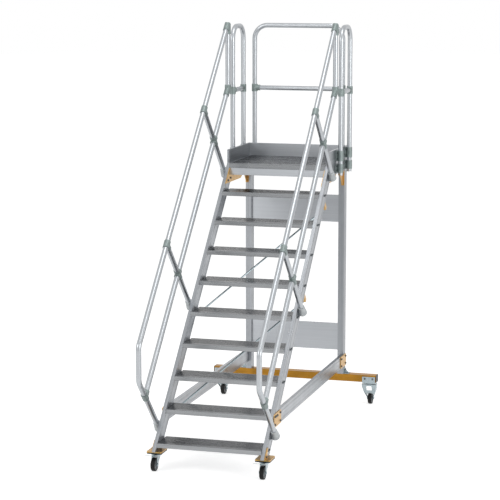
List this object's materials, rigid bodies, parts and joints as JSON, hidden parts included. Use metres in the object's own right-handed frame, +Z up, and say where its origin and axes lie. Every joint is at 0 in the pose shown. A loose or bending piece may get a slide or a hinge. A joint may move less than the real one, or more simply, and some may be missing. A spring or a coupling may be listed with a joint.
{
  "type": "mobile platform stair",
  "caption": "Wheeled access stair with ribbed treads, handrails on both sides and a guarded top platform, on four swivel casters.",
  "frame": {"origin": "on the floor, in the middle of the outline seen from above", "axes": "+Z up, +Y the way a person climbs, +X to the climber's right"},
  "size_m": [1.424, 2.825, 3.2151],
  "materials": {
    "aluminium_profile": "extruded aluminium with a satin anodised finish",
    "aluminium_tube": "drawn aluminium tube, brushed along its length",
    "ribbed_aluminium": "ribbed aluminium extrusion, satin",
    "cast_aluminium": "gray-green cast aluminium, fine matt grain",
    "pale_cast_aluminium": "pale gray cast aluminium, fine matt grain",
    "yellow_zinc_steel": "steel with yellow-chromated zinc plating",
    "ochre_steel": "ochre-yellow plated steel hollow section",
    "zinc_steel": "bright zinc-plated pressed steel",
    "bolt_steel": "plain plated steel",
    "tyre_rubber": "black rubber",
    "black_plastic": "black moulded plastic",
    "gray_plastic": "gray nylon"
  },
  "bodies": {
    "frame": {"base_struts": "aluminium_profile", "brace_cleats": "yellow_zinc_steel", "brace_rods": "yellow_zinc_steel", "caster_base_plates": "zinc_steel", "caster_pads": "black_plastic", "caster_swivel_heads": "zinc_steel", "end_caps": "black_plastic", "frame_bolts": "bolt_steel", "guard_clamps": "cast_aluminium", "guard_knee_tubes": "aluminium_tube", "guard_tee_joints": "cast_aluminium", "handrail_left": "aluminium_tube", "handrail_right": "aluminium_tube", "knee_rails": "aluminium_tube", "lower_panel": "aluminium_profile", "platform_cross_beams": "aluminium_profile", "platform_deck": "ribbed_aluminium", "platform_gussets": "yellow_zinc_steel", "platform_side_beams": "aluminium_profile", "post_foot_angles": "zinc_steel", "rail_end_posts": "aluminium_tube", "rail_foot_sockets": "pale_cast_aluminium", "rail_joints": "cast_aluminium", "rail_supports": "aluminium_tube", "rear_caster_brackets": "zinc_steel", "rear_crossbeam": "ochre_steel", "rear_guard": "aluminium_tube", "rear_post_left": "aluminium_profile", "rear_post_right": "aluminium_profile", "side_guard_left": "aluminium_tube", "side_guard_right": "aluminium_tube", "stringer_left": "aluminium_profile", "stringer_right": "aluminium_profile", "strut_plates": "yellow_zinc_steel", "toe_board_rear": "aluminium_profile", "toe_boards_side": "aluminium_profile", "tread_1": "ribbed_aluminium", "tread_2": "ribbed_aluminium", "tread_3": "ribbed_aluminium", "tread_4": "ribbed_aluminium", "tread_5": "ribbed_aluminium", "tread_6": "ribbed_aluminium", "tread_7": "ribbed_aluminium", "tread_8": "ribbed_aluminium", "tread_9": "ribbed_aluminium", "upper_panel": "aluminium_profile"},
    "swivel_front_left": {"caster_fork_front_left": "zinc_steel"},
    "wheel_front_left": {"caster_tyre_front_left": "tyre_rubber", "caster_hub_front_left": "gray_plastic"},
    "pedal_left": {"brake_pedal_left": "zinc_steel"},
    "swivel_front_right": {"caster_fork_front_right": "zinc_steel"},
    "wheel_front_right": {"caster_tyre_front_right": "tyre_rubber", "caster_hub_front_right": "gray_plastic"},
    "pedal_right": {"brake_pedal_right": "zinc_steel"},
    "swivel_rear_left": {"caster_fork_rear_left": "zinc_steel"},
    "wheel_rear_left": {"caster_tyre_rear_left": "tyre_rubber", "caster_hub_rear_left": "gray_plastic"},
    "swivel_rear_right": {"caster_fork_rear_right": "zinc_steel"},
    "wheel_rear_right": {"caster_tyre_rear_right": "tyre_rubber", "caster_hub_rear_right": "gray_plastic"}
  },
  "joints": [
    {"name": "swivel_front_left_turn", "type": "hinge", "parent": "frame", "child": "swivel_front_left", "pos_m": [-0.4135, -1.11607, 0.1], "axis": [0, 0, 1], "continuous": true},
    {"name": "wheel_front_left_roll", "type": "hinge", "parent": "swivel_front_left", "child": "wheel_front_left", "pos_m": [-0.4135, -1.16607, 0.05], "axis": [1, 0, 0], "continuous": true},
    {"name": "pedal_left_press", "type": "hinge", "parent": "swivel_front_left", "child": "pedal_left", "pos_m": [-0.4135, -1.15207, 0.1046], "axis": [1, 0, 0], "range_deg": [0, 14]},
    {"name": "swivel_front_right_turn", "type": "hinge", "parent": "frame", "child": "swivel_front_right", "pos_m": [0.4135, -1.11607, 0.1], "axis": [0, 0, 1], "continuous": true},
    {"name": "wheel_front_right_roll", "type": "hinge", "parent": "swivel_front_right", "child": "wheel_front_right", "pos_m": [0.4135, -1.16607, 0.05], "axis": [1, 0, 0], "continuous": true},
    {"name": "pedal_right_press", "type": "hinge", "parent": "swivel_front_right", "child": "pedal_right", "pos_m": [0.4135, -1.15207, 0.1046], "axis": [1, 0, 0], "range_deg": [0, 14]},
    {"name": "swivel_rear_left_turn", "type": "hinge", "parent": "frame", "child": "swivel_rear_left", "pos_m": [-0.648, 1.31793, 0.1], "axis": [0, 0, 1], "continuous": true},
    {"name": "wheel_rear_left_roll", "type": "hinge", "parent": "swivel_rear_left", "child": "wheel_rear_left", "pos_m": [-0.648, 1.35993, 0.05], "axis": [1, 0, 0], "continuous": true},
    {"name": "swivel_rear_right_turn", "type": "hinge", "parent": "frame", "child": "swivel_rear_right", "pos_m": [0.648, 1.31793, 0.1], "axis": [0, 0, 1], "continuous": true},
    {"name": "wheel_rear_right_roll", "type": "hinge", "parent": "swivel_rear_right", "child": "wheel_rear_right", "pos_m": [0.648, 1.35993, 0.05], "axis": [1, 0, 0], "continuous": true}
  ]
}
